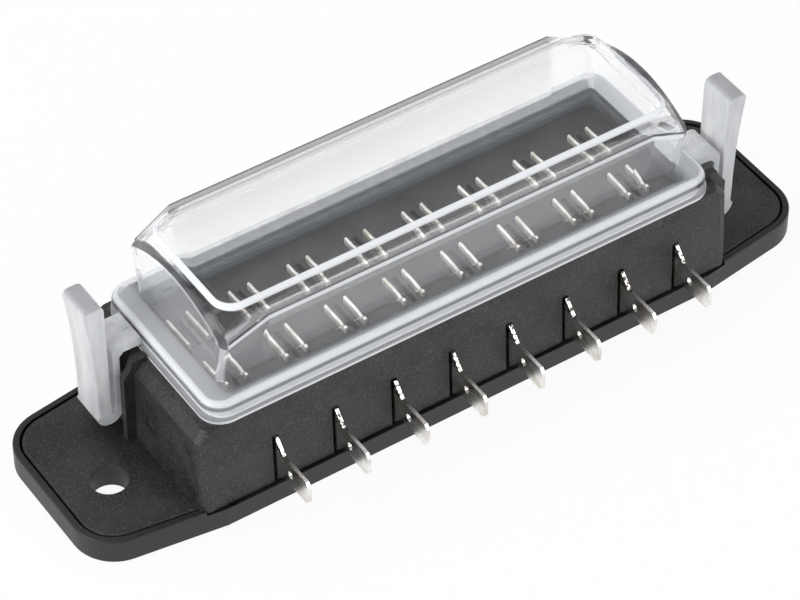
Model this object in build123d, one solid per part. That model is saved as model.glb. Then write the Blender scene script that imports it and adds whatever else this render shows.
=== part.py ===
from build123d import *
import math
import os

# Blade fuse box, millimetres, +Z up. The origin is the centre of the tray's underside.
# +X runs along the two rows of terminals, -Y faces the front row.
# The box maps onto itself when it is turned half a turn about Z.

# Terminals
terminal_pitch = 15.0
terminals_per_side = 8
tab_width = 6.3
tab_thickness = 0.8
tab_reach = 12.7
tab_low_z = 9.5
tab_tip_chamfer = 1.0
tab_hole_radius = 0.95
tab_hole_from_tip = 6.9
root_reach = 2.9
root_top_z = 18.9
root_foot_z = 6.2
root_clearance = 0.15
root_notch = 3.0
tab_offset = 1.85
jaw_sheet = 0.8
jaw_inner_y = 3.0
jaw_length = 8.8
jaw_base_z = 12.4
jaw_base_half = 1.9
jaw_bend_radius = 0.8
jaw_pinch_half = 0.65
jaw_pinch_z = 20.4
leaf_spacing = 4.9
leaf_rise = 1.45
leaf_bend_drop = 0.4
fuse_slot_width = 1.2
root_slot_clearance = 0.4

# Housing
end_margin = 17.0
body_width = 47.8
side_lean = 0.9
end_lean = 0.5
side_lean_top = 1.5
end_slope_run = 2.5
wall_corner_radius = 2.5
wall_top_z = 25.6
seat_z = 28.2
rim_top_z = 32.0
rim_wall = 2.2
rim_length_margin = 10.6
rim_side_margin = 3.4
rim_corner_radius = 4.0
deck_z = 25.6
deck_thickness = 2.2
chamber_wall = 1.8
chamber_foot_gap = 0.2
deck_slot_clearance = 0.25
ear_thickness = 2.0
ear_gap = 0.55
ear_edge_radius = 0.4
join_depth = 1.0
cut_overrun = 1.0

# Tray
tray_height = 6.4
tray_wall = 1.5
tray_floor = 1.5
tray_side_margin = 0.8
rim_drop = 1.0
rim_drop_inset = 1.0
body_foot_gap = 0.4
ear_reach = 24.4
ear_corner_radius = 10.3
ear_corner_y = 11.5
straight_side_margin = 5.8
tray_edge_radius = 0.45
rail_y = 17.0
rail_thickness = 1.6
boss_wall = 2.4

# Fixing holes, one at each end, on opposite sides of the long axis
hole_radius = 4.3
hole_from_body_end = 11.2
hole_y = 4.25

# Clear cover
skirt_wall = 1.45
skirt_end_wall = 1.75
skirt_clearance = 0.25
skirt_corner_radius = 5.0
skirt_bead = 0.3
skirt_bead_height = 1.2
flange_top_z = 33.6
flange_thickness = 1.4
flange_edge_radius = 2.0
dome_end_inset = 5.2
dome_side_inset = 5.9
dome_wall = 1.8
ridge_z = 46.0
ridge_side_inset = 0.9
pillar_flare = 1.3
facet_length = 11.0
arch_rise = 5.8
band_height = 5.6
roof_edge_height = 1.4
pillar_edge_radius = 1.5
plateau_end_inset = 2.3
plateau_overhang = 0.4
plateau_corner_radius = 5.0
plateau_edge_radius = 1.3

# Latches
latch_width = 8.8
latch_y = 10.55
latch_gap = 0.2
root_z = 31.0
root_height = 2.2
leg_inner_gap = 1.2
leg_thickness = 1.5
leg_bend_radius = 2.2
fork_gap = 1.2
fork_floor_z = 13.6
latch_bottom_z = 10.5
lever_foot_thickness = 3.6
lever_top_thickness = 5.1
lever_top_z = 45.8
lever_lean = 0.1
lever_edge_radius = 1.7
tooth_low_z = 14.8
tooth_top_z = 17.8
tooth_reach = 0.7
catch_clearance = 0.2
keeper_height = 2.6
keeper_width = 6.6
keeper_lip = 0.8
guard_clearance = 1.4
guard_thickness = 1.7
guard_reach = 2.2
guard_top_z = 29.3
guard_shoulder_z = 25.1
guard_chamfer = 1.3
guard_hook_inset = 2.6
guard_hook_gap = 0.6

# Worked out from the sizes above
half_row = (terminals_per_side - 1) / 2 * terminal_pitch
plateau_z = ridge_z + band_height
body_half_length = half_row + end_margin
body_half_width = body_width / 2
tray_half_length = body_half_length + ear_reach
tray_half_width = body_half_width + tray_side_margin
body_foot_z = tray_height - rim_drop + body_foot_gap
terminal_places = [i * terminal_pitch - half_row for i in range(terminals_per_side)]
hole_x = body_half_length + hole_from_body_end
rim_half_length = half_row + rim_length_margin
rim_half_width = body_half_width - rim_side_margin
seat_half_length = body_half_length - end_slope_run
seat_half_width = body_half_width - side_lean_top
skirt_inner_length = rim_half_length + skirt_clearance
skirt_inner_width = rim_half_width + skirt_clearance
skirt_half_length = skirt_inner_length + skirt_end_wall
skirt_half_width = skirt_inner_width + skirt_wall
dome_half_length = skirt_half_length - dome_end_inset
dome_half_width = skirt_half_width - dome_side_inset
wall_foot_x = body_half_length - end_lean
root_x = skirt_half_length + latch_gap
leg_inner_x = body_half_length + leg_inner_gap
leg_outer_x = leg_inner_x + leg_thickness
lever_inner_x = leg_outer_x + fork_gap
leaf_x = leaf_spacing / 2
leaf_top_z = deck_z + leaf_rise


def rounded_block(half_length, half_width, radius, z_low, z_high):
    face = RectangleRounded(2 * half_length, 2 * half_width, radius)
    return Pos(0, 0, z_low) * extrude(face, z_high - z_low)


def block(x_low, x_high, y_low, y_high, z_low, z_high):
    centre = ((x_low + x_high) / 2, (y_low + y_high) / 2, (z_low + z_high) / 2)
    return Pos(*centre) * Box(x_high - x_low, y_high - y_low, z_high - z_low)


def half_turn(part):
    return Rot(0, 0, 180) * part


def both_ends(part):
    return part + half_turn(part)


def tray_outline():
    with BuildSketch() as outline:
        straight = body_half_length - straight_side_margin
        corner_x = tray_half_length - ear_corner_radius
        Rectangle(2 * straight, 2 * tray_half_width)
        with Locations(*[(sx * corner_x, sy * ear_corner_y) for sx in (-1, 1) for sy in (-1, 1)]):
            Circle(ear_corner_radius)
        make_hull()
    return outline.sketch


def fixing_hole(radius, z_low, z_high):
    hole = Pos(hole_x, hole_y, z_low) * extrude(Circle(radius), z_high - z_low)
    return both_ends(hole)


# Base tray: the dish that closes the box from below and carries the ears
def base_tray():
    outline = tray_outline()
    tray = extrude(outline, tray_height)
    tray = fillet(tray.faces().sort_by(Axis.Z)[-1].edges(), tray_edge_radius)
    tray = fillet(tray.faces().sort_by(Axis.Z)[0].edges(), tray_edge_radius)
    inside = offset(outline, -tray_wall)
    tray -= Pos(0, 0, tray_floor) * extrude(inside, tray_height)
    seat = tray_height - ear_thickness
    tray += fixing_hole(hole_radius + boss_wall, tray_floor, seat)
    tray -= fixing_hole(hole_radius, -cut_overrun, tray_height)
    drop_half = body_half_length - rim_drop_inset
    drop_z = tray_height - rim_drop
    drop_half_width = tray_half_width + cut_overrun
    tray -= block(-drop_half, drop_half, -drop_half_width, drop_half_width, drop_z, tray_height + cut_overrun)
    rail_half = half_row + terminal_pitch / 2
    rail = block(-rail_half, rail_half, -rail_thickness / 2, rail_thickness / 2, tray_floor, root_foot_z)
    tray += Pos(0, rail_y, 0) * rail
    tray += Pos(0, -rail_y, 0) * rail
    return tray


# Housing: leaning walls on a foot that drops into the tray, with a walled deck on top
def wall_section(half_length, half_width, z):
    return Pos(0, 0, z) * RectangleRounded(2 * half_length, 2 * half_width, wall_corner_radius)


def housing_shell():
    foot = wall_section(body_half_length, body_half_width, body_foot_z)
    wall_top = wall_section(wall_foot_x, body_half_width - side_lean, wall_top_z)
    seat = wall_section(seat_half_length, seat_half_width, seat_z)
    shell = loft([foot, wall_top], ruled=True) + loft([wall_top, seat], ruled=True)
    ears = offset(tray_outline(), -tray_wall - ear_gap)
    plate = Pos(0, 0, tray_height - ear_thickness) * extrude(ears, ear_thickness)
    plate = fillet(plate.faces().sort_by(Axis.Z)[-1].edges(), ear_edge_radius)
    shell += plate
    shell += rounded_block(rim_half_length, rim_half_width, rim_corner_radius, wall_top_z, rim_top_z)
    bay_radius = rim_corner_radius - rim_wall
    bay_length = rim_half_length - rim_wall
    bay_width = rim_half_width - rim_wall
    return shell - rounded_block(bay_length, bay_width, bay_radius, deck_z, rim_top_z + cut_overrun)


# Chambers: one under each pair of jaws, cored from below, with a slot in the wall for the tab
# and three in the deck, for the two leaves and for the fuse's blade between them
def chamber_cuts():
    depth = rim_half_width - root_clearance
    ceiling = deck_z - deck_thickness
    half = (terminal_pitch - chamber_wall) / 2
    chamber_foot = root_foot_z + chamber_foot_gap
    slot_half = tab_thickness / 2 + root_slot_clearance
    leaf_half = jaw_sheet / 2 + deck_slot_clearance
    low = tray_height - ear_thickness - join_depth
    cuts = []
    for side in (-1, 1):
        for x in terminal_places:
            ys = sorted((side * chamber_wall / 2, side * depth))
            cuts.append(block(x - half, x + half, *ys, low, ceiling))
            tab_x = x - side * tab_offset
            ys = sorted((side * (depth - join_depth), side * (body_half_width + join_depth)))
            cuts.append(block(tab_x - slot_half, tab_x + slot_half, *ys, low, root_top_z + root_clearance))
            ys = sorted((side * (jaw_inner_y - deck_slot_clearance),
                         side * (jaw_inner_y + jaw_length + deck_slot_clearance)))
            slots = ((x - leaf_x, leaf_half), (x, fuse_slot_width / 2), (x + leaf_x, leaf_half))
            for slot_x, width in slots:
                left = slot_x - width
                right = slot_x + width
                cuts.append(block(left, right, *ys, ceiling - join_depth, deck_z + join_depth))
    inner_length = rim_half_length - chamber_wall / 2
    cuts.append(block(-inner_length, inner_length, -depth, depth, low, chamber_foot))
    return cuts


# Guards and keeper: the end wall's fins on both sides of a latch, and the ledge under which it hooks
def guard(y_low):
    outer_x = body_half_length + guard_reach
    hook_x = skirt_half_length + guard_hook_gap
    with BuildSketch(Plane.XZ) as side:
        with BuildLine():
            Polyline(
                (seat_half_length - join_depth, tray_height - join_depth),
                (outer_x, tray_height - join_depth),
                (outer_x, guard_shoulder_z),
                (outer_x - guard_chamfer, guard_shoulder_z + guard_chamfer),
                (outer_x - guard_hook_inset, guard_top_z),
                (hook_x, guard_top_z),
                (hook_x, seat_z - join_depth),
                (seat_half_length - join_depth, seat_z - join_depth),
                close=True,
            )
        make_face()
    return Pos(0, y_low + guard_thickness, 0) * extrude(side.sketch, guard_thickness)


def keeper():
    tip_x = leg_inner_x - tooth_reach - catch_clearance
    wall_x = wall_foot_x - join_depth
    ledge_z = tooth_top_z + catch_clearance
    with BuildSketch(Plane.XZ) as side:
        with BuildLine():
            Polyline(
                (wall_x, ledge_z),
                (tip_x, ledge_z),
                (tip_x, ledge_z + keeper_lip),
                (wall_x, ledge_z + keeper_height),
                close=True,
            )
        make_face()
    return Pos(0, -latch_y + keeper_width / 2, 0) * extrude(side.sketch, keeper_width)


def fuse_housing():
    housing = housing_shell()
    near = -latch_y - latch_width / 2 - guard_clearance - guard_thickness
    far = -latch_y + latch_width / 2 + guard_clearance
    housing += both_ends(guard(near))
    housing += both_ends(guard(far))
    housing += both_ends(keeper())
    for cut in chamber_cuts():
        housing -= cut
    return housing - fixing_hole(hole_radius, 0, tray_height + cut_overrun)


# Terminal: a tab and root in line with one leaf of a pair of sprung jaws
def terminal_blade():
    wall_y = body_half_width
    tip_y = wall_y + tab_reach
    tab_top_z = tab_low_z + tab_width
    inner_y = rim_half_width - root_clearance - join_depth
    base_z = jaw_base_z + jaw_bend_radius
    with BuildSketch(Plane.YZ) as side:
        with BuildLine():
            Polyline(
                (-tip_y, tab_low_z + tab_tip_chamfer),
                (-tip_y + tab_tip_chamfer, tab_low_z),
                (-wall_y - root_reach, tab_low_z),
                (-wall_y, root_foot_z),
                (-jaw_inner_y - jaw_length, root_foot_z),
                (-jaw_inner_y - jaw_length, tab_low_z),
                (-jaw_inner_y, tab_low_z),
                (-jaw_inner_y, base_z),
                (-inner_y + root_notch, base_z),
                (-inner_y, root_top_z),
                (-wall_y, root_top_z),
                (-wall_y - root_reach, tab_top_z),
                (-tip_y + tab_tip_chamfer, tab_top_z),
                (-tip_y, tab_top_z - tab_tip_chamfer),
                close=True,
            )
        make_face()
        with Locations((-tip_y + tab_hole_from_tip, tab_low_z + tab_width / 2)):
            Circle(tab_hole_radius, mode=Mode.SUBTRACT)
    return Pos(tab_offset, 0, 0) * extrude(side.sketch, tab_thickness / 2, both=True)


def jaw_arm():
    half = jaw_sheet / 2
    with BuildSketch(Plane.XZ) as section:
        with BuildLine():
            FilletPolyline(
                (0, jaw_base_z),
                (jaw_base_half, jaw_base_z),
                (jaw_pinch_half, jaw_pinch_z),
                (leaf_x, deck_z - deck_thickness - leaf_bend_drop),
                (leaf_x, leaf_top_z - half),
                radius=jaw_bend_radius,
            )
            offset(amount=half)
        make_face()
    return Pos(0, -jaw_inner_y, 0) * extrude(section.sketch, jaw_length)


def terminal():
    arm = jaw_arm()
    return terminal_blade() + arm + mirror(arm, about=Plane.YZ)


# Clear cover: skirt and flange round the deck wall, and a dome with faceted corners
def dome_section(half_length, half_width, corner_half_width, corner_length, z):
    corner = (half_length, corner_half_width)
    shoulder = (half_length - corner_length, half_width)
    signs = ((1, 1), (-1, 1), (-1, -1), (1, -1))
    points = [(sx * x, sy * y) for sx, sy in signs for x, y in (corner, shoulder)]
    order = [points[0], points[1], points[3], points[2], points[4], points[5], points[7], points[6]]
    return Pos(0, 0, z) * make_face(Polyline(*order, close=True))


def ridge_section(inset):
    ridge_y = dome_half_width - ridge_side_inset - inset
    pillar_y = dome_half_width + pillar_flare - inset
    return dome_section(dome_half_length - inset, ridge_y, pillar_y, facet_length, ridge_z)


def plateau_section(inset):
    half_length = dome_half_length - plateau_end_inset - inset
    half_width = dome_half_width - ridge_side_inset + plateau_overhang - inset
    outline = RectangleRounded(2 * half_length, 2 * half_width, plateau_corner_radius - inset)
    return Pos(0, 0, plateau_z - inset) * outline


# Roof: arched end walls whose corners fall in slanted facets from the plateau to the pillars
def roof(inset):
    end_x = dome_half_length - inset
    pillar_y = dome_half_width + pillar_flare - inset
    shoulder_x = end_x - facet_length
    ridge_y = dome_half_width - ridge_side_inset - inset
    radius = plateau_corner_radius - inset
    edge_x = dome_half_length - plateau_end_inset - inset
    edge_y = ridge_y + plateau_overhang
    edge_z = plateau_z - inset
    rise = arch_rise - inset
    arch_radius = (pillar_y ** 2 + rise ** 2) / (2 * rise)

    def arch_point(y):
        return end_x, y, ridge_z + rise - arch_radius + math.sqrt(arch_radius ** 2 - y ** 2)

    arc_y = edge_y - radius
    mid_y = (arc_y + pillar_y) / 2
    arch = ThreePointArc(arch_point(-arc_y), arch_point(0), arch_point(arc_y))
    end_edge = Line((edge_x, -arc_y, edge_z), (edge_x, arc_y, edge_z))
    quarter = [Face.make_surface_from_curves(arch.edge(), end_edge.edge())]
    wall = [arch.edge(), Line((end_x, -pillar_y, ridge_z), (end_x, pillar_y, ridge_z)).edge()]
    for side in (-1, 1):
        flank = ThreePointArc(*[arch_point(side * y) for y in (arc_y, mid_y, pillar_y)])
        turn = radius * math.sqrt(0.5)
        corner = ThreePointArc((edge_x, side * arc_y, edge_z),
                               (edge_x - radius + turn, side * (arc_y + turn), edge_z),
                               (edge_x - radius, side * edge_y, edge_z))
        facet = Polyline((end_x, side * pillar_y, ridge_z), (shoulder_x, side * ridge_y, ridge_z),
                         (edge_x - radius, side * edge_y, edge_z), close=True)
        quarter += [Face.make_surface_from_curves(flank.edge(), corner.edge()), make_face(facet).face()]
        wall.append(flank.edge())
    quarter.append(make_face(wall).face())
    faces = quarter + [half_turn(face) for face in quarter]
    for side in (-1, 1):
        flank = Polyline((-shoulder_x, side * ridge_y, ridge_z), (shoulder_x, side * ridge_y, ridge_z),
                         (edge_x - radius, side * edge_y, edge_z), (radius - edge_x, side * edge_y, edge_z),
                         close=True)
        faces.append(make_face(flank).face())
    faces += [plateau_section(inset).face(), ridge_section(inset).face()]
    return Solid(Shell(faces))


def dome(inset):
    foot = dome_section(dome_half_length - inset, dome_half_width - inset,
                        dome_half_width - inset, facet_length, flange_top_z)
    shape = loft([foot, ridge_section(inset)], ruled=True) + roof(inset)
    cap = extrude(plateau_section(inset), roof_edge_height)
    return shape + fillet(cap.faces().sort_by(Axis.Z)[-1].edges(), plateau_edge_radius)


def clear_cover():
    skirt = rounded_block(skirt_half_length, skirt_half_width, skirt_corner_radius, seat_z, flange_top_z)
    skirt = fillet(skirt.faces().sort_by(Axis.Z)[-1].edges(), flange_edge_radius)
    bead_radius = skirt_corner_radius + skirt_bead
    skirt += rounded_block(skirt_half_length + skirt_bead, skirt_half_width + skirt_bead, bead_radius,
                           seat_z, seat_z + skirt_bead_height)
    outside = dome(0)
    walls = outside.edges().filter_by(lambda edge: flange_top_z < edge.center().Z < ridge_z)
    pillars = walls.filter_by(lambda edge: abs(edge.center().X) > dome_half_length - dome_wall)
    cover = skirt + fillet(pillars, pillar_edge_radius)
    inner_radius = rim_corner_radius + skirt_clearance
    hollow = rounded_block(skirt_inner_length, skirt_inner_width, inner_radius,
                           seat_z - cut_overrun, flange_top_z - flange_thickness)
    neck = Pos(0, 0, seat_z) * extrude(
        Rectangle(2 * (dome_half_length - dome_wall), 2 * (dome_half_width - dome_wall)), flange_top_z - seat_z)
    return cover - hollow - neck - dome(dome_wall)


# Latch: a leg down from the skirt, turned up at its foot into the finger lever
def latch_right():
    lever_foot_x = lever_inner_x + lever_foot_thickness
    lever_top_x = lever_inner_x + lever_lean + lever_top_thickness
    root_low = root_z - root_height / 2
    root_high = root_z + root_height / 2
    tooth_x = leg_inner_x - tooth_reach
    fork_x = (leg_outer_x + lever_inner_x) / 2
    fork_floor = fork_floor_z - fork_gap / 2
    with BuildSketch(Plane.XZ) as side:
        with BuildLine():
            Line((root_x, root_low), (root_x, root_high))
            Line((root_x, root_high), (leg_outer_x - leg_bend_radius, root_high))
            RadiusArc((leg_outer_x - leg_bend_radius, root_high),
                      (leg_outer_x, root_high - leg_bend_radius), leg_bend_radius)
            Line((leg_outer_x, root_high - leg_bend_radius), (leg_outer_x, fork_floor_z))
            ThreePointArc((leg_outer_x, fork_floor_z), (fork_x, fork_floor), (lever_inner_x, fork_floor_z))
            Line((lever_inner_x, fork_floor_z), (lever_inner_x + lever_lean, lever_top_z))
            Line((lever_inner_x + lever_lean, lever_top_z), (lever_top_x, lever_top_z))
            Line((lever_top_x, lever_top_z), (lever_foot_x, fork_floor_z))
            ThreePointArc((lever_foot_x, fork_floor_z), (fork_x, latch_bottom_z), (leg_inner_x, fork_floor_z))
            Polyline((leg_inner_x, fork_floor_z), (leg_inner_x, tooth_low_z),
                     (tooth_x, tooth_low_z + tooth_reach), (tooth_x, tooth_top_z), (leg_inner_x, tooth_top_z),
                     (leg_inner_x, root_low - leg_bend_radius / 2),
                     (leg_inner_x - leg_bend_radius / 2, root_low), (root_x, root_low))
        make_face()
    body = Pos(0, -latch_y + latch_width / 2, 0) * extrude(side.sketch, latch_width)
    top = body.faces().sort_by(Axis.Z)[-1]
    body = fillet(top.edges().filter_by(Axis.Y), lever_edge_radius)
    return body


os.makedirs("parts", exist_ok=True)
export_step(base_tray(), "parts/base_tray.step")
export_step(fuse_housing(), "parts/fuse_housing.step")
one_terminal = terminal()
for number, x in enumerate(terminal_places, 1):
    front = Pos(x, 0, 0) * one_terminal
    export_step(front, f"parts/terminal_front_{number}.step")
    rear = Pos(x, 0, 0) * half_turn(one_terminal)
    export_step(rear, f"parts/terminal_rear_{number}.step")
export_step(clear_cover(), "parts/clear_cover.step")
right = latch_right()
export_step(right, "parts/latch_right.step")
export_step(half_turn(right), "parts/latch_left.step")
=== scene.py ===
import bpy
import bmesh
import math
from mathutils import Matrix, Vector


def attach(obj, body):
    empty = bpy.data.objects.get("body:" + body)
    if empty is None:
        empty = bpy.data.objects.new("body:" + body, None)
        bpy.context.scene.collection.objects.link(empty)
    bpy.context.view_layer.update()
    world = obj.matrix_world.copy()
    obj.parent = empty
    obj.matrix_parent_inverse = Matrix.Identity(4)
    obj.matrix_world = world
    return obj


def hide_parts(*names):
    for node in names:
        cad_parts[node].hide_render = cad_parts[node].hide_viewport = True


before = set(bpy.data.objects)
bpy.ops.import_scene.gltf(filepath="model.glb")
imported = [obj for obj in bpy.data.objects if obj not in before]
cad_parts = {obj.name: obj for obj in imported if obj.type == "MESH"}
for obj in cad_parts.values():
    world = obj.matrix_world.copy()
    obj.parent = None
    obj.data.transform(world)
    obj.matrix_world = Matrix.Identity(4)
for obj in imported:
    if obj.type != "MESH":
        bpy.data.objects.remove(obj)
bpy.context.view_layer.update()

# The view: the box lies on a white sweep and is seen from above its left front corner
# through a long lens. The distance and the angles were fitted to the photograph.
view_azimuth = math.radians(-33.77)
view_elevation = math.radians(44.69)
view_distance = 0.8168
looked_at = Vector((-0.0035, 0.0, 0.01408))
focal_length_px = 3712.07
picture_width_px = 800
film_width_mm = 36
towards_camera = Vector((
    math.sin(view_azimuth) * math.cos(view_elevation),
    -math.cos(view_azimuth) * math.cos(view_elevation),
    math.sin(view_elevation),
))
camera_data = bpy.data.cameras.new("camera")
camera_data.lens = focal_length_px * film_width_mm / picture_width_px
camera_data.sensor_width = film_width_mm
camera_data.clip_start = 0.01
camera_data.clip_end = 20
camera = bpy.data.objects.new("camera", camera_data)
bpy.context.scene.collection.objects.link(camera)
camera.location = looked_at + towards_camera * view_distance
camera.rotation_euler = (-towards_camera).to_track_quat("-Z", "Y").to_euler()
bpy.context.scene.camera = camera
bpy.context.scene.view_settings.view_transform = "Standard"

# The light: a broad soft box low on the left, a weaker one in front on the right, a faint one
# above, and a pale room all round, which glass and tin show as white.
for lamp_name, place, size, power in (
    ("left_softbox", (-1.15, -0.10, 0.45), 0.8, 8.0),
    ("front_softbox", (0.45, -1.05, 0.50), 0.8, 5.0),
    ("top_softbox", (-0.30, 0.55, 1.05), 0.9, 3.0),
):
    lamp_data = bpy.data.lights.new(lamp_name, "AREA")
    lamp_data.shape = "SQUARE"
    lamp_data.size = size
    lamp_data.energy = power
    lamp = bpy.data.objects.new(lamp_name, lamp_data)
    bpy.context.scene.collection.objects.link(lamp)
    lamp.location = place
    lamp.rotation_euler = (looked_at - Vector(place)).to_track_quat("-Z", "Y").to_euler()


def shader_math(tree, operation, first, second=0.0):
    step = tree.nodes.new("ShaderNodeMath")
    step.operation = operation
    for socket, value in zip(step.inputs, (first, second)):
        if isinstance(value, float):
            socket.default_value = value
        else:
            tree.links.new(value, socket)
    return step.outputs[0]


def ramp_between(tree, value, start, end, least=0.0, most=1.0):
    stretch = tree.nodes.new("ShaderNodeMapRange")
    stretch.inputs["From Min"].default_value = start
    stretch.inputs["From Max"].default_value = end
    stretch.inputs["To Min"].default_value = least
    stretch.inputs["To Max"].default_value = most
    tree.links.new(value, stretch.inputs["Value"])
    return stretch.outputs[0]


def mix_shaders(tree, amount, under, over):
    mix = tree.nodes.new("ShaderNodeMixShader")
    for socket, value in zip(mix.inputs, (amount, under, over)):
        tree.links.new(value, socket)
    return mix.outputs[0]


horizon_gleam = 0.95
ceiling_gleam = 0.45
room = bpy.data.worlds.new("pale_room")
room.use_nodes = True
room_tree = room.node_tree
room_tree.nodes.clear()
room_light = room_tree.nodes.new("ShaderNodeBackground")
room_light.inputs["Color"].default_value = (0.93, 0.95, 1.0, 1.0)
room_light.inputs["Strength"].default_value = 0.50
room_seen = room_tree.nodes.new("ShaderNodeBackground")
room_seen.inputs["Color"].default_value = (1.0, 1.0, 1.0, 1.0)
room_seen.inputs["Strength"].default_value = 1.0
room_mirrored = room_tree.nodes.new("ShaderNodeBackground")
room_direction = room_tree.nodes.new("ShaderNodeTexCoord")
room_axes = room_tree.nodes.new("ShaderNodeSeparateXYZ")
room_tree.links.new(room_direction.outputs["Generated"], room_axes.inputs[0])
room_gleam = ramp_between(room_tree, room_axes.outputs["Z"], 0.25, 0.85, horizon_gleam, ceiling_gleam)
room_tree.links.new(room_gleam, room_mirrored.inputs["Strength"])
room_path = room_tree.nodes.new("ShaderNodeLightPath")
seen_through = shader_math(
    room_tree, "MAXIMUM", room_path.outputs["Is Camera Ray"], room_path.outputs["Is Transmission Ray"])
room_round = mix_shaders(
    room_tree, room_path.outputs["Is Glossy Ray"], room_light.outputs[0], room_mirrored.outputs[0])
room_output = room_tree.nodes.new("ShaderNodeOutputWorld")
room_tree.links.new(
    mix_shaders(room_tree, seen_through, room_round, room_seen.outputs[0]), room_output.inputs["Surface"])
bpy.context.scene.world = room

# The sweep: a large sheet of white paper. It glows a little where the lens sees it, so that
# it comes out white, and keeps the box's soft shadow.
half_sheet = 3
glow_share = 0.9
sweep_corners = [
    (-half_sheet, -half_sheet, 0), (half_sheet, -half_sheet, 0),
    (half_sheet, half_sheet, 0), (-half_sheet, half_sheet, 0)]
sweep_mesh = bpy.data.meshes.new("sweep")
sweep_mesh.from_pydata(sweep_corners, [], [(0, 1, 2, 3)])
sweep = bpy.data.objects.new("sweep", sweep_mesh)
bpy.context.scene.collection.objects.link(sweep)
sweep_paper = bpy.data.materials.new("sweep_paper")
sweep_paper.use_nodes = True
paper_tree = sweep_paper.node_tree
paper_tree.nodes.clear()
paper_matte = paper_tree.nodes.new("ShaderNodeBsdfDiffuse")
paper_matte.inputs["Color"].default_value = (0.86, 0.86, 0.86, 1)
paper_glow = paper_tree.nodes.new("ShaderNodeEmission")
paper_glow.inputs["Color"].default_value = (1, 1, 1, 1)
paper_glow.inputs["Strength"].default_value = 1.02
paper_path = paper_tree.nodes.new("ShaderNodeLightPath")
paper_seen = shader_math(
    paper_tree, "MAXIMUM", paper_path.outputs["Is Camera Ray"], paper_path.outputs["Is Transmission Ray"])
paper_seen = shader_math(paper_tree, "MAXIMUM", paper_seen, paper_path.outputs["Is Glossy Ray"])
paper_amount = shader_math(paper_tree, "MULTIPLY", paper_seen, glow_share)
paper_output = paper_tree.nodes.new("ShaderNodeOutputMaterial")
paper_tree.links.new(
    mix_shaders(paper_tree, paper_amount, paper_matte.outputs[0], paper_glow.outputs[0]),
    paper_output.inputs["Surface"])
sweep_mesh.materials.append(sweep_paper)


# The tray: a shallow black moulding that closes the box from below and carries the two ears.
# Nylon with a spark-eroded grain in its bump, with lighter specks painted into its colour as painted
# glints of the grain's tiny glossy pits, on a near-black ground.
def start_material(name):
    material = bpy.data.materials.new(name)
    material.use_nodes = True
    tree = material.node_tree
    return material, tree, tree.nodes["Principled BSDF"], tree.nodes.new("ShaderNodeTexCoord")


def noise(tree, coordinates, scale, detail, roughness=0.5):
    texture = tree.nodes.new("ShaderNodeTexNoise")
    texture.inputs["Scale"].default_value = scale
    texture.inputs["Detail"].default_value = detail
    texture.inputs["Roughness"].default_value = roughness
    tree.links.new(coordinates, texture.inputs["Vector"])
    return texture.outputs["Fac"]


def two_tones(tree, value, first_stop, first_tone, last_stop, last_tone):
    tones = tree.nodes.new("ShaderNodeValToRGB")
    for element, stop, tone in zip(
            tones.color_ramp.elements, (first_stop, last_stop), (first_tone, last_tone)):
        element.position = stop
        element.color = (*tone, 1)
    tree.links.new(value, tones.inputs["Fac"])
    return tones.outputs["Color"]


def tint(tree, amount, under, over):
    mix = tree.nodes.new("ShaderNodeMix")
    mix.data_type = "RGBA"
    mix.inputs["B"].default_value = (*over, 1)
    tree.links.new(amount, mix.inputs["Factor"])
    tree.links.new(under, mix.inputs["A"])
    return mix.outputs["Result"]


def raise_relief(tree, height, strength, depth, body):
    bump = tree.nodes.new("ShaderNodeBump")
    bump.inputs["Strength"].default_value = strength
    bump.inputs["Distance"].default_value = depth
    tree.links.new(height, bump.inputs["Height"])
    tree.links.new(bump.outputs["Normal"], body.inputs["Normal"])


cloud_scale = 110
# Lighter specks where the grain is high: painted glints of its tiny pits.
glint_speck_stops = (0.52, 0.72)
painted_glint_tone = (0.30, 0.30, 0.29)
roughness_swing = 0.12
nylon_ior = 1.5


def grained_nylon(name, ground, bloom, roughness, grain_scale, grain_depth, sparkle):
    nylon, tree, body, place = start_material(name)
    clouds = noise(tree, place.outputs["Object"], cloud_scale, 6, 0.6)
    grains = noise(tree, place.outputs["Object"], grain_scale, 2)
    painted_glints = ramp_between(tree, grains, *glint_speck_stops, 0.0, sparkle)
    shade = two_tones(tree, clouds, 0.35, ground, 0.72, bloom)
    tree.links.new(tint(tree, painted_glints, shade, painted_glint_tone), body.inputs["Base Color"])
    dull = ramp_between(tree, clouds, 0.0, 1.0, roughness - roughness_swing, roughness + roughness_swing)
    tree.links.new(dull, body.inputs["Roughness"])
    raise_relief(tree, grains, 0.6, grain_depth, body)
    body.inputs["IOR"].default_value = nylon_ior
    return nylon


tray_nylon = grained_nylon(
    "tray_nylon", ground=(0.004, 0.004, 0.005), bloom=(0.012, 0.012, 0.014), roughness=0.45,
    grain_scale=2600, grain_depth=0.00005, sparkle=0.06)
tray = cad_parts["base_tray"]
tray.data.materials.clear()
tray.data.materials.append(tray_nylon)


# The housing: the tall black moulding that holds the terminals, with the plates of both ears.
# The same nylon with a coarser grain, a little lighter where the mould's skin is worn. The deck
# inside its wall is painted paler and a little blue, most of all beside the jaws: a painted sheen
# for the gloss of its smoother skin.
def distance_along(tree, place, axis):
    axes = tree.nodes.new("ShaderNodeSeparateXYZ")
    tree.links.new(place.outputs["Object"], axes.inputs[0])
    return shader_math(tree, "ABSOLUTE", axes.outputs[axis])


def product(tree, *masks):
    together = masks[0]
    for mask in masks[1:]:
        together = shader_math(tree, "MULTIPLY", together, mask)
    return together


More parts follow.
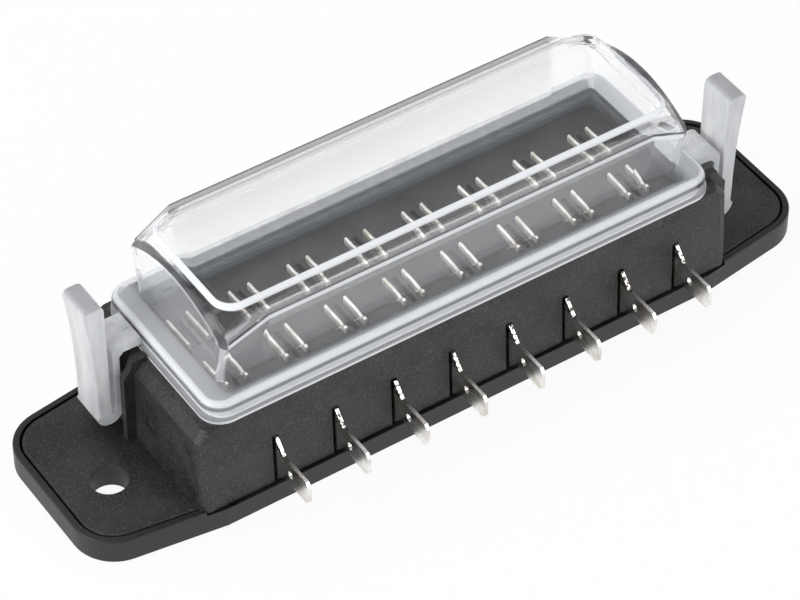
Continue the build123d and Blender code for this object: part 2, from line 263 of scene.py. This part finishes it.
deck_level = (0.0264, 0.0268)
deck_end = (0.0650, 0.0645)
deck_side = (0.0212, 0.0206)
jaw_rows_side = (0.0130, 0.0142)
sheen_between_rows = 0.3
painted_deck_sheen = (0.052, 0.062, 0.078)
housing_nylon = grained_nylon(
    "housing_nylon", ground=(0.004, 0.004, 0.004), bloom=(0.030, 0.030, 0.031), roughness=0.50,
    grain_scale=2000, grain_depth=0.00014, sparkle=0.16)
housing_tree = housing_nylon.node_tree
housing_body = housing_tree.nodes["Principled BSDF"]
housing_place = housing_tree.nodes.new("ShaderNodeTexCoord")
housing_side_x = distance_along(housing_tree, housing_place, "X")
housing_side_y = distance_along(housing_tree, housing_place, "Y")
housing_height = distance_along(housing_tree, housing_place, "Z")
# Painted sheen: the deck's top is tinted paler and bluer, less between the jaw rows.
deck_sheen_share = product(
    housing_tree,
    ramp_between(housing_tree, housing_side_x, *deck_end),
    ramp_between(housing_tree, housing_side_y, *jaw_rows_side, sheen_between_rows),
    ramp_between(housing_tree, housing_side_y, *deck_side),
    ramp_between(housing_tree, housing_height, *deck_level))
grained_tone = housing_body.inputs["Base Color"].links[0].from_socket
housing_tree.links.new(
    tint(housing_tree, deck_sheen_share, grained_tone, painted_deck_sheen), housing_body.inputs["Base Color"])
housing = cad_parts["fuse_housing"]
housing.data.materials.clear()
housing.data.materials.append(housing_nylon)

# The terminals: sixteen brass stampings, tinned bright, each with a tab in front and a pair of
# sprung jaws above. Rolling marks run along the strip, the tin is a little uneven and dulled on
# the jaws, and above the level of the tab the root carries dark spots, partly a ragged burr on the cut
# edge and partly painted reflections.
above_tab = (0.0150, 0.0160)
outer_wall_side = (0.0300, 0.0270)
beyond_jaws = (0.0200, 0.0205)
burr_and_reflection_stops = (0.50, 0.56)
burr_and_reflection_tone = (0.06, 0.055, 0.05)
cloudy_tin = (0.66, 0.62, 0.55)
shiny_tin = (0.90, 0.89, 0.87)
rolling_stretch = 0.12
rolling_roughness = (0.14, 0.34)
jaw_level = (0.0190, 0.0240)
jaw_dulling = 0.34
tin, tin_tree, tin_body, tin_place = start_material("bright_tin")
tin_body.inputs["Metallic"].default_value = 1.0
rolled = tin_tree.nodes.new("ShaderNodeMapping")
rolled.inputs["Scale"].default_value = (1.0, rolling_stretch, 1.0)
tin_tree.links.new(tin_place.outputs["Object"], rolled.inputs["Vector"])
rolling_marks = noise(tin_tree, rolled.outputs["Vector"], 900, 4)
tin_patches = noise(tin_tree, tin_place.outputs["Object"], 260, 2)
burr_and_reflection_noise = noise(tin_tree, tin_place.outputs["Object"], 1300, 3)
tin_tone = two_tones(tin_tree, tin_patches, 0.35, cloudy_tin, 0.62, shiny_tin)
tin_side_y = distance_along(tin_tree, tin_place, "Y")
tin_height = distance_along(tin_tree, tin_place, "Z")
# Dark spots on the root above the tab: partly a burred cut edge, partly painted reflection.
burr_and_reflection_spots = product(
    tin_tree,
    ramp_between(tin_tree, burr_and_reflection_noise, *burr_and_reflection_stops),
    ramp_between(tin_tree, tin_height, *above_tab),
    ramp_between(tin_tree, tin_side_y, *outer_wall_side),
    ramp_between(tin_tree, tin_side_y, *beyond_jaws))
tin_tree.links.new(tint(tin_tree, burr_and_reflection_spots, tin_tone, burr_and_reflection_tone), tin_body.inputs["Base Color"])
tin_dull = ramp_between(tin_tree, rolling_marks, 0.0, 1.0, *rolling_roughness)
jaws_dull = ramp_between(tin_tree, tin_height, *jaw_level, 0.0, jaw_dulling)
tin_tree.links.new(shader_math(tin_tree, "ADD", tin_dull, jaws_dull), tin_body.inputs["Roughness"])
raise_relief(tin_tree, rolling_marks, 0.25, 0.00003, tin_body)
for node_name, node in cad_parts.items():
    if node_name.startswith("terminal_"):
        node.data.materials.clear()
        node.data.materials.append(tin)

# The cover: one clear polycarbonate moulding, polished, with a skirt round the deck's wall and
# a dome over the fuses. Where its edges turn, painted highlights stand for the room's light they
# gather and painted shade for the light they bend away, while the panels between stay clear.
flange_top_z = 0.0336
pillar_top_z = 0.0460
wall_top_z = 0.0512
plateau_foot_z = 0.0516
pillar_x = 0.0599
dome_foot_y = 0.0163
facet_run = 0.0110
wall_lean = 0.20
arch_radius = 0.0296
arch_centre_z = 0.0222
skirt_corner_centre = (0.0601, 0.0172)
plateau_corner_centre = (0.0526, 0.0108)
clear, clear_tree, clear_body, clear_place = start_material("clear_polycarbonate")
clear_body.inputs["Base Color"].default_value = (0.995, 0.998, 1.0, 1)
clear_body.inputs["Transmission Weight"].default_value = 1.0
clear_body.inputs["IOR"].default_value = 1.08
clear_body.inputs["Coat Weight"].default_value = 0.45
clear_body.inputs["Coat Roughness"].default_value = 0.02
clear_body.inputs["Coat IOR"].default_value = 1.5
clear_waves = noise(clear_tree, clear_place.outputs["Object"], 70, 2)
clear_tree.links.new(
    ramp_between(clear_tree, clear_waves, 0.0, 1.0, 0.01, 0.05), clear_body.inputs["Roughness"])
raise_relief(clear_tree, clear_waves, 0.12, 0.0002, clear_body)
# Painted highlight and painted shade: a white and a dark shader mixed over the clear one.
painted_highlight = clear_tree.nodes.new("ShaderNodeBsdfPrincipled")
painted_highlight.inputs["Base Color"].default_value = (0.90, 0.91, 0.925, 1)
painted_highlight.inputs["Roughness"].default_value = 0.35
painted_highlight.inputs["IOR"].default_value = 1.5
painted_shade = clear_tree.nodes.new("ShaderNodeBsdfPrincipled")
painted_shade.inputs["Base Color"].default_value = (0.05, 0.05, 0.055, 1)
painted_shade.inputs["Roughness"].default_value = 0.15
side_x = distance_along(clear_tree, clear_place, "X")
side_y = distance_along(clear_tree, clear_place, "Y")
height = distance_along(clear_tree, clear_place, "Z")


def clear_math(operation, first, second=0.0):
    return shader_math(clear_tree, operation, first, second)


def fade(value, start, end):
    soft_step = clear_tree.nodes.new("ShaderNodeMapRange")
    soft_step.interpolation_type = "SMOOTHSTEP"
    soft_step.inputs["From Min"].default_value = start
    soft_step.inputs["From Max"].default_value = end
    clear_tree.links.new(value, soft_step.inputs["Value"])
    return soft_step.outputs[0]


def level_bands(stops_mm):
    low = stops_mm[0][0]
    high = stops_mm[-1][0]
    bands = clear_tree.nodes.new("ShaderNodeValToRGB")
    elements = bands.color_ramp.elements
    for element, (_, amount) in zip(elements, (stops_mm[0], stops_mm[-1])):
        element.color = (amount, amount, amount, 1)
    for level, amount in stops_mm[1:-1]:
        elements.new((level - low) / (high - low)).color = (amount, amount, amount, 1)
    clear_tree.links.new(
        ramp_between(clear_tree, height, low / 1000, high / 1000), bands.inputs["Fac"])
    return bands.outputs["Color"]


def outline_distance(corner_x, corner_y):
    away_x = clear_math("MAXIMUM", clear_math("SUBTRACT", side_x, corner_x), 0.0)
    away_y = clear_math("MAXIMUM", clear_math("SUBTRACT", side_y, corner_y), 0.0)
    squares = clear_math("ADD", product(clear_tree, away_x, away_x), product(clear_tree, away_y, away_y))
    return clear_math("SQRT", squares)


def strongest(amounts):
    most = amounts[0]
    for amount in amounts[1:]:
        most = clear_math("MAXIMUM", most, amount)
    return most


# The skirt: painted highlights give a white lip below, a pale band and a white edge up to the
# flange, with painted shade in the groove between, and the flange's flat is hazy, partly painted
# sheen, most of all at its ends. The bands' levels are in millimetres.
skirt_face = (0.0021, 0.0032)
skirt_top = (0.0337, 0.0335)
flange_end = (0.0570, 0.0612)
flange_end_haze_and_sheen = 0.34
flange_side_haze_and_sheen = 0.05
on_skirt = product(
    clear_tree, fade(outline_distance(*skirt_corner_centre), *skirt_face), fade(height, *skirt_top))
skirt_highlight = product(clear_tree, on_skirt, level_bands((
    (28.20, 0.85), (28.75, 0.80), (28.95, 0.34), (31.45, 0.40), (31.60, 0.04), (32.40, 0.05),
    (32.60, 0.50), (33.10, 0.85), (33.45, 0.75), (33.60, 0.40))))
groove_shade = product(
    clear_tree, on_skirt, level_bands(((31.45, 0.0), (31.75, 0.55), (32.25, 0.55), (32.60, 0.0))))
flange_flat = level_bands(((33.30, 0.0), (33.50, 1.0), (33.70, 1.0), (33.90, 0.0)))
flange_ends = clear_math("MULTIPLY", fade(side_x, *flange_end), flange_end_haze_and_sheen)
flange_haze_and_sheen = product(clear_tree, flange_flat, clear_math("ADD", flange_ends, flange_side_haze_and_sheen))

# The plateau: a painted highlight round its rounded rim and a faint haze, partly painted sheen, on its
# flat top.
plateau_edge = (0.0035, 0.0039)
plateau_flat = (0.05297, 0.05299)
plateau_haze_and_sheen_amount = 0.04
rim_highlight = product(
    clear_tree,
    level_bands(((51.60, 0.0), (51.85, 0.97), (52.94, 0.97), (52.99, 0.03))),
    fade(outline_distance(*plateau_corner_centre), *plateau_edge))
plateau_haze_and_sheen = clear_math("MULTIPLY", fade(height, *plateau_flat), plateau_haze_and_sheen_amount)

# The long walls: their top edge drops along the facets to the pillars. It has painted shade on
# the ridge, a painted highlight in a band under it, a shelf behind it hazy with painted sheen, and
# painted shade in a strip along the shelf's inner side.
ridge_band = (-0.0005, -0.0003)
under_ridge_band = (-0.0006, -0.0003)
panel_band = (-0.0010, -0.0006)
shelf_band = (-0.0024, -0.0019)
shelf_inner_start = (-0.0042, -0.0038)
shelf_inner_end = (-0.0026, -0.0030)
shelf_level = (0.0004, 0.0002)
under_ridge_top = (0.0001, 0.0002)
under_ridge_foot = (0.0021, 0.0015)
shelf_inner_shade_strength = 0.35
above_flange = fade(height, flange_top_z + 0.0001, flange_top_z + 0.0004)
wall_out = clear_math("MULTIPLY", clear_math("SUBTRACT", height, flange_top_z), wall_lean)
from_wall = clear_math("SUBTRACT", clear_math("SUBTRACT", side_y, wall_out), dome_foot_y)
top_edge = ramp_between(clear_tree, side_x, pillar_x, pillar_x - facet_run, pillar_top_z, wall_top_z)
below_top = clear_math("SUBTRACT", top_edge, height)
on_shelf = product(clear_tree, fade(below_top, *shelf_level), above_flange)
shelf_highlight = product(clear_tree, fade(from_wall, *shelf_band), on_shelf)
ridge_shade = product(clear_tree, fade(from_wall, *ridge_band), on_shelf)
shelf_inner = product(
    clear_tree, fade(from_wall, *shelf_inner_start), fade(from_wall, *shelf_inner_end), on_shelf)
shelf_shade = clear_math("MULTIPLY", shelf_inner, shelf_inner_shade_strength)
under_ridge = product(
    clear_tree, fade(below_top, *under_ridge_top), fade(below_top, *under_ridge_foot),
    fade(from_wall, *under_ridge_band), above_flange)
long_panel = product(clear_tree, fade(from_wall, *panel_band), above_flange)

# The ends: a painted highlight along the arch, painted shade in a strip on the roof inside it, and
# pillars hazy with painted sheen.
end_face = (0.05980, 0.05988)
inside_end_face = (0.05988, 0.05980)
roof_end = (0.0582, 0.0586)
end_skin = (0.0588, 0.0592)
pillar_end = (0.0576, 0.0590)
pillar_side = (-0.0018, -0.0008)
arch_line_level = (-0.0010, -0.0008)
arch_roof_level = (-0.0004, -0.0002)
arch_squares = clear_math("SUBTRACT", arch_radius ** 2, product(clear_tree, side_y, side_y))
over_arch = clear_math(
    "SUBTRACT", clear_math("SUBTRACT", height, arch_centre_z), clear_math("SQRT", arch_squares))
arch_highlight = product(clear_tree, fade(over_arch, *arch_line_level), fade(side_x, *end_face))
arch_shade = product(
    clear_tree, fade(side_x, *roof_end), fade(side_x, *inside_end_face),
    fade(over_arch, *arch_roof_level))
end_panel = product(clear_tree, fade(side_x, *end_skin), above_flange)
near_pillar = product(
    clear_tree, fade(side_x, *pillar_end), fade(from_wall, *pillar_side), above_flange)

# The painted highlights and painted shade are mixed over the clear glass by these amounts.
dome_shade_strength = 0.85
weighed_highlights = [
    clear_math("MULTIPLY", mask, whiteness) for mask, whiteness in (
        (shelf_highlight, 0.24), (under_ridge, 0.74), (arch_highlight, 0.45),
        (long_panel, 0.21), (end_panel, 0.24), (near_pillar, 0.50))]
highlight_amount = strongest([flange_haze_and_sheen, plateau_haze_and_sheen, skirt_highlight, rim_highlight] + weighed_highlights)
dome_shade = clear_math("MULTIPLY", strongest([ridge_shade, arch_shade, shelf_shade]), dome_shade_strength)
shade_amount = strongest([dome_shade, groove_shade])
highlighted = mix_shaders(clear_tree, highlight_amount, clear_body.outputs[0], painted_highlight.outputs[0])
clear_tree.links.new(
    mix_shaders(clear_tree, shade_amount, highlighted, painted_shade.outputs[0]),
    clear_tree.nodes["Material Output"].inputs["Surface"])

# The long walls of the dome lean outwards to a top edge that is higher than the pillars, with a
# shelf from there to the plateau. The solid's shoulders are drawn out and up to that edge.
merge_distance = 0.00001
solid_flare = 0.0013
solid_tuck = 0.0022
wall_inner_y = 0.0125
arch_face_x = 0.0585
level_slack = 0.00002
flat_below = math.radians(0.5)
rounded_below = math.radians(24)
wall_height = pillar_top_z - flange_top_z
roof_height = plateau_foot_z - pillar_top_z
arch_spread = (wall_lean * wall_height - solid_flare) / (dome_foot_y + solid_flare)
dome = bmesh.new()
dome.from_mesh(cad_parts["clear_cover"].data)
bmesh.ops.remove_doubles(dome, verts=dome.verts, dist=merge_distance)
bmesh.ops.dissolve_limit(dome, angle_limit=flat_below, verts=dome.verts, edges=dome.edges)
for corner in dome.verts:
    x, y, z = (abs(corner.co.x), abs(corner.co.y), corner.co.z)
    if z < flange_top_z + 0.0001:
        continue
    middle = min(1.0, max(0.0, (pillar_x - x) / facet_run))
    if z < pillar_top_z + level_slack:
        share = (z - flange_top_z) / wall_height
        on_wall = y > wall_inner_y
        lift = (wall_top_z - pillar_top_z) * middle * share if on_wall else 0.0
        leaning = wall_lean * (z + lift - flange_top_z)
        widening = leaning - share * (solid_flare - solid_tuck * middle) if on_wall else 0.0
    else:
        share = max(0.0, (wall_top_z - z) / roof_height)
        on_wall = x < arch_face_x and y > wall_inner_y
        lift = (wall_top_z - pillar_top_z) * middle * share if on_wall else 0.0
        widening = y * share * arch_spread
    corner.co.y += math.copysign(widening, corner.co.y)
    corner.co.z += lift
for face in dome.faces:
    face.smooth = True
for edge in dome.edges:
    if len(edge.link_faces) == 2:
        edge.smooth = edge.calc_face_angle() < rounded_below
cover_mesh = bpy.data.meshes.new("clear_cover_moulding")
dome.to_mesh(cover_mesh)
dome.free()
cover = bpy.data.objects.new("clear_cover_moulding", cover_mesh)
bpy.context.scene.collection.objects.link(cover)
cover_mesh.materials.append(clear)
cover.visible_shadow = False
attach(cover, "cover")
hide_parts("clear_cover")

# The latches: two springy clips at the cover's ends, moulded with frosted faces, so that they
# look milky. Each is a finger lever folded up from a leg. The lever's edges are rounded, and
# its outer face hollows a little before it flares to the pad for the finger.
# The pad's flat top is painted a darker grey: painted shade, as its upward face gets less light than the
# outer face.
pad_level = (0.0449, 0.0457)
pad_shade_share = 0.85
pad_top_shade_tone = (0.50, 0.50, 0.51)
milky_shade = (0.70, 0.71, 0.72)
milky_light = (0.95, 0.955, 0.96)
drawing_stretch = 0.22
milky, milky_tree, milky_body, milky_place = start_material("frosted_polycarbonate")
milky_body.inputs["Transmission Weight"].default_value = 0.42
milky_body.inputs["IOR"].default_value = 1.45
drawn_out = milky_tree.nodes.new("ShaderNodeMapping")
drawn_out.inputs["Scale"].default_value = (1.0, 1.0, drawing_stretch)
milky_tree.links.new(milky_place.outputs["Object"], drawn_out.inputs["Vector"])
milky_clouds = noise(milky_tree, drawn_out.outputs["Vector"], 330, 4)
milky_tone = two_tones(milky_tree, milky_clouds, 0.30, milky_shade, 0.62, milky_light)
pad_top_shade = milky_tree.nodes.new("ShaderNodeMapRange")
pad_top_shade.interpolation_type = "SMOOTHSTEP"
pad_top_shade.inputs["From Min"].default_value = pad_level[0]
pad_top_shade.inputs["From Max"].default_value = pad_level[1]
pad_top_shade.inputs["To Max"].default_value = pad_shade_share
milky_tree.links.new(distance_along(milky_tree, milky_place, "Z"), pad_top_shade.inputs["Value"])
milky_tree.links.new(
    tint(milky_tree, pad_top_shade.outputs[0], milky_tone, pad_top_shade_tone), milky_body.inputs["Base Color"])
milky_tree.links.new(
    ramp_between(milky_tree, milky_clouds, 0.0, 1.0, 0.22, 0.45), milky_body.inputs["Roughness"])

lever_foot_z = 0.0150
lever_top_z = 0.0458
lever_cap = 0.002
lever_middle_x = 0.0745
lever_hollow = 0.00060
lever_rounding = 0.0011
lever_slices = 12
for latch_name, body_name in (("latch_left", "left_latch"), ("latch_right", "right_latch")):
    shape = bmesh.new()
    shape.from_mesh(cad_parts[latch_name].data)
    bmesh.ops.remove_doubles(shape, verts=shape.verts, dist=merge_distance)
    bmesh.ops.dissolve_limit(shape, angle_limit=math.radians(1), verts=shape.verts, edges=shape.edges)
    lever_edges = [
        edge for edge in shape.edges
        if len(edge.link_faces) == 2 and edge.calc_face_angle() > math.radians(40)
        and min(abs(end.co.x) for end in edge.verts) > lever_middle_x
        and edge.calc_length() > lever_rounding]
    bmesh.ops.bevel(shape, geom=lever_edges, offset=lever_rounding, segments=5, profile=0.5,
                    affect="EDGES", clamp_overlap=False)
    bmesh.ops.remove_doubles(shape, verts=shape.verts, dist=merge_distance)
    for cut in range(1, lever_slices):
        cut_z = lever_foot_z + (lever_top_z - lever_foot_z - lever_cap) * cut / lever_slices
        bmesh.ops.bisect_plane(shape, geom=shape.verts[:] + shape.edges[:] + shape.faces[:],
                               plane_co=(0, 0, cut_z), plane_no=(0, 0, 1))
    for corner in shape.verts:
        if abs(corner.co.x) > lever_middle_x and corner.co.z > lever_foot_z:
            rise = min(1.0, (corner.co.z - lever_foot_z) / (lever_top_z - lever_foot_z))
            corner.co.x -= math.copysign(4 * lever_hollow * rise * (1 - rise), corner.co.x)
    for face in shape.faces:
        face.smooth = True
    for edge in shape.edges:
        if len(edge.link_faces) == 2:
            edge.smooth = edge.calc_face_angle() < math.radians(32)
    latch_mesh = bpy.data.meshes.new(latch_name + "_frosted")
    shape.to_mesh(latch_mesh)
    shape.free()
    latch = bpy.data.objects.new(latch_name + "_frosted", latch_mesh)
    bpy.context.scene.collection.objects.link(latch)
    latch_mesh.materials.append(milky)
    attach(latch, body_name)
    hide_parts(latch_name)
